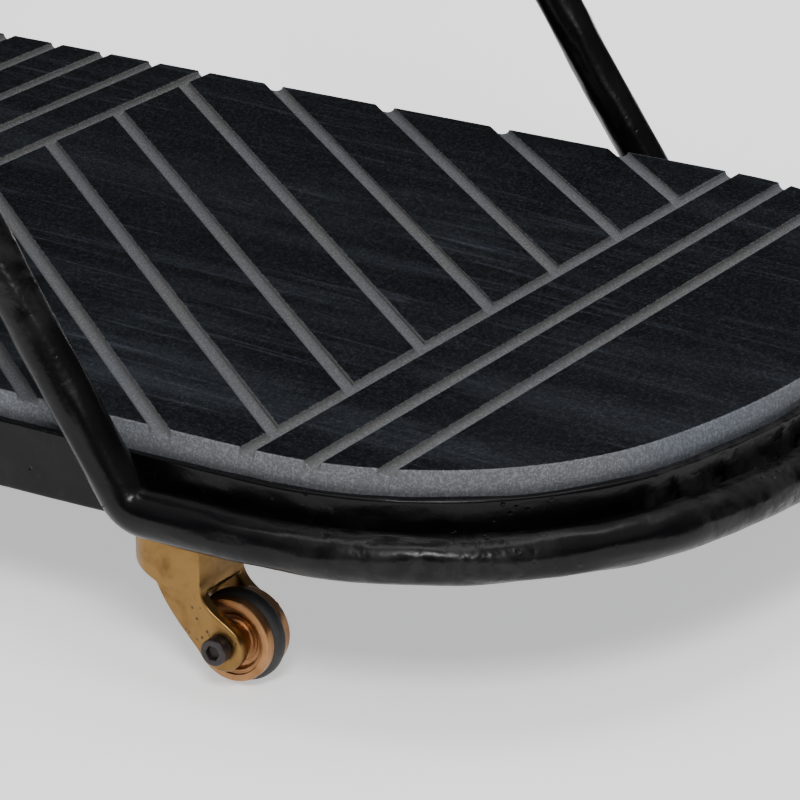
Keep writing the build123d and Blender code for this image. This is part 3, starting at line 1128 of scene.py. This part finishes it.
@dataclass
class CrossedLegs:
    """Crossed legs of both long sides."""

    bar: HammeredBar
    bead: WeldBead
    dent: float = 1.3
    cope: float = 0.35
    bead_inset: float = 2.3
    bead_steps: int = 48

    def build(self) -> None:
        """Make the legs and the welds at each crossing."""
        slope = Vector((-math.cos(LEVELS.rise), 0, math.sin(LEVELS.rise)))
        foot_z = LEVELS.lower - LEVELS.ring_drop
        head_z = LEVELS.upper - LEVELS.ring_drop
        middle_z = (foot_z + head_z) / 2
        reach = LEVELS.rod / math.sin(2 * LEVELS.rise)
        for side, name in ((-1, "front"), (1, "back")):
            y = side * LEVELS.rod_y
            foot = Vector((LEVELS.elbow_x, y, foot_z)) + slope * LEVELS.setback
            head = Vector((-LEVELS.elbow_x, y, head_z)) - slope * LEVELS.setback
            turned = Vector((-1, 1, 1))
            low = Vector((0, y, middle_z - self.cope * reach))
            high = Vector((0, y, middle_z + self.cope * reach))
            self._leg(f"leg_{name}_a", foot, head)
            self._leg(f"leg_{name}_b_lower", foot * turned, low)
            self._leg(f"leg_{name}_b_upper", high, head * turned)
            self._crossing(name, y, middle_z)

    def _leg(self, node: str, start: Vector, end: Vector) -> None:
        """One straight hammered rod between two points."""
        values = rod_values(self.dent, 1.3 * len(node))
        piece = self.bar.bake(path_object([tuple(start), tuple(end)]), f"{node}_rod", **values)
        settle(piece, "frame", Finish.FRAME, node)

    def _crossing(self, name: str, y: float, z: float) -> None:
        """Weld round the crossing, in the planes where the two rods meet."""
        radius = LEVELS.rod - self.bead_inset
        tall = radius / math.cos(LEVELS.rise)
        wide = radius / math.sin(LEVELS.rise)
        turns = [2 * math.pi * i / self.bead_steps for i in range(self.bead_steps + 1)]
        upright = [(0.0, y + radius * math.cos(t), z + tall * math.sin(t)) for t in turns]
        level = [(wide * math.sin(t), y + radius * math.cos(t), z) for t in turns]
        weld(self.bead, f"weld_crossing_{name}_upright", upright, 1.5, 31)
        weld(self.bead, f"weld_crossing_{name}_level", level, 1.5, 37)


@dataclass
class Caster:
    """One swivel caster."""

    corner: str
    tyre_radius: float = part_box("tyre_front_left")[1][2] / MM / 2
    tyre_section: float = 3.75
    tyre_ease: float = 0.02
    tyre_seam: float = 0.12
    tyre_steps: int = 40
    flange: float = 15.6
    bore: float = 4.05
    boss: float = 6.5
    half_width: float = 8.75
    web: float = 4.25
    rim: float = 7.5

    def axle(self) -> Tuple[Vector, Vector]:
        """Centre of the wheel and direction of its axle."""
        for joint in frame["joints"]:
            if joint["name"] == f"roll_{self.corner}":
                return Vector(joint["pos_m"]), Vector(joint["axis"]).normalized()
        raise KeyError(self.corner)

    def _hub_half(self) -> List[Tuple[float, float]]:
        """Outline of one half of the hub from bore to tyre groove."""
        points = [
            (self.bore, self.half_width - 0.3),
            (self.bore + 0.3, self.half_width),
            (self.boss - 0.5, self.half_width),
            (self.boss, self.half_width - 0.5),
            (self.boss + 0.15, self.web + 0.5),
            (self.boss + 0.6, self.web),
            (8.6, self.web),
            (8.75, self.web + 0.35),
            (9.1, self.web + 0.35),
            (9.25, self.web),
            (10.5, self.web),
            (10.8, self.web + 0.3),
            (11.0, self.rim - 1.5),
            (11.3, self.rim - 1.0),
            (12.6, self.rim - 0.7),
            (12.9, self.rim),
            (self.flange - 0.7, self.rim),
            (self.flange - 0.2, self.rim - 0.3),
            (self.flange, self.rim - 0.8),
            (self.flange, 3.6),
        ]
        ring = self.tyre_radius - self.tyre_section
        for i in range(1, 9):
            angle = math.pi * i / 16
            points.append((ring - self.tyre_section * math.sin(angle), self.tyre_section * math.cos(angle)))
        return points

    def wheel(self) -> None:
        """Turned hub and rubber ring."""
        centre, axis = self.axle()
        body = f"wheel_{self.corner}"
        half = self._hub_half()
        outline = half + [(r, -a) for r, a in reversed(half[:-1])]
        hub = lathe(f"hub_{self.corner}_turned", outline, centre, axis)
        settle(hub, body, Finish.BRONZE, f"hub_{self.corner}")
        ring = self.tyre_radius - self.tyre_section
        section = []
        for i in range(self.tyre_steps):
            angle = 2 * math.pi * i / self.tyre_steps
            seam = self.tyre_seam if i == 0 else 0.0
            radius = self.tyre_section - self.tyre_ease - seam
            section.append((ring + radius * math.cos(angle), radius * math.sin(angle)))
        tyre = lathe(f"tyre_{self.corner}_ring", section, centre, axis, 112)
        settle(tyre, body, Finish.TYRE, f"tyre_{self.corner}")

    def carrier(self) -> None:
        """Fork and fasteners that turn with the swivel, and the caster plate on the frame."""
        body = f"swivel_{self.corner}"
        fork = f"fork_{self.corner}"
        settle(softened(fork, f"{fork}_cast", Finish.BRASS, 0.8, 3), body, Finish.BRASS, fork)
        for kind in ("axle_bolt", "axle_nut"):
            node = f"{kind}_{self.corner}"
            settle(softened(node, f"{node}_screw", Finish.SCREW, 0.25), body, Finish.SCREW, node)
        frame["nodes"][f"axle_sleeve_{self.corner}"].data.materials[0] = PAINT[Finish.STEEL]
        plate = f"caster_plate_{self.corner}"
        settle(softened(plate, f"{plate}_steel", Finish.FRAME, 0.5), "frame", Finish.FRAME, plate)

    def build(self) -> None:
        """Make the caster's visible pieces."""
        self.wheel()
        self.carrier()


@dataclass
class Studio:
    """Camera, floor and lights."""

    azimuth: float = math.radians(32.1187)
    elevation: float = math.radians(21.5151)
    distance: float = 1.50928
    aim: Point = (0.33682, -0.11096, LEVELS.lower * MM)
    lens: float = 191.49
    horizon: float = 0.05
    zenith: float = 0.7
    floor_reach: float = 14.0

    def camera(self) -> None:
        """Long-lens camera above the right-hand front corner."""
        data = bpy.data.cameras.new("camera")
        data.lens = self.lens
        data.sensor_width = 36.0
        data.clip_end = 50.0
        eye = linked("camera", data)
        level = math.cos(self.elevation)
        across, forward = math.sin(self.azimuth) * level, -math.cos(self.azimuth) * level
        away = Vector((across, forward, math.sin(self.elevation)))
        eye.location = Vector(self.aim) + away * self.distance
        eye.rotation_euler = away.to_track_quat("Z", "Y").to_euler()
        bpy.context.scene.camera = eye

    def floor(self) -> None:
        """Pale floor under the tyres."""
        mesh = bpy.data.meshes.new("floor")
        size = self.floor_reach
        corners = [(-size, -size, 0), (size, -size, 0), (size, size, 0), (-size, size, 0)]
        mesh.from_pydata(corners, [], [(0, 1, 2, 3)])
        mesh.materials.append(FloorFinish().build())
        linked("floor", mesh)

    def lamp(self, name: str, place: Point, aim: Point, size: Tuple[float, float], watts: float) -> None:
        """One rectangular softbox.

        Args:
            name: lamp name.
            place: where it stands.
            aim: what it faces.
            size: width and height in metres.
            watts: power.
        """
        data = bpy.data.lights.new(name, "AREA")
        data.shape = "RECTANGLE"
        data.size, data.size_y = size
        data.energy = watts
        made = linked(name, data)
        made.location = place
        made.rotation_euler = (Vector(place) - Vector(aim)).to_track_quat("Z", "Y").to_euler()

    def world(self) -> None:
        """Surroundings that brighten from the horizon to overhead."""
        made = bpy.data.worlds.new("studio")
        made.use_nodes = True
        graph = Graph(made.node_tree)
        _, _, height = graph.node("ShaderNodeTexCoord", output="Generated").split()
        bright = self.horizon + height.step(0.25, 0.95) * (self.zenith - self.horizon)
        background = made.node_tree.nodes["Background"]
        background.inputs["Color"].default_value = (1.0, 1.0, 1.0, 1.0)
        graph.plug(background.inputs["Strength"], bright)
        bpy.context.scene.world = made

    def build(self) -> None:
        """Set the studio up."""
        self.camera()
        self.floor()
        self.world()
        self.lamp("key", (1.6, -2.2, 2.6), (0.2, -0.1, 0.2), (0.9, 0.9), 92)
        self.lamp("overhead", (0.0, 0.3, 3.2), (0.0, 0.0, 0.0), (2.2, 2.2), 80)
        self.lamp("side", (-2.6, -0.8, 1.6), (0.0, 0.0, 0.3), (1.0, 1.6), 12)


def small_parts() -> None:
    """Give the remaining CAD nodes their finishes."""
    for node in ("swivel_bolts", "swivel_lock_nuts", "thrust_washers"):
        frame["nodes"][node].data.materials[0] = PAINT[Finish.STEEL]


def main() -> None:
    """Build the cart's looks in order."""
    logging.basicConfig(level=logging.INFO, format="%(name)s: %(message)s")
    bar, bead = HammeredBar(), WeldBead()
    Studio().build()
    LOG.info("studio ready")
    for level in ("lower", "upper"):
        StoneShelf(level).build()
        ShelfFrame(level, bar, bead).build()
        LOG.info("%s shelf ready", level)
    CrossedLegs(bar, bead).build()
    LOG.info("legs ready")
    for corner in ("front_right", "front_left", "back_right", "back_left"):
        Caster(corner).build()
    small_parts()
    LOG.info("casters ready")


if __name__ == "__main__":
    main()
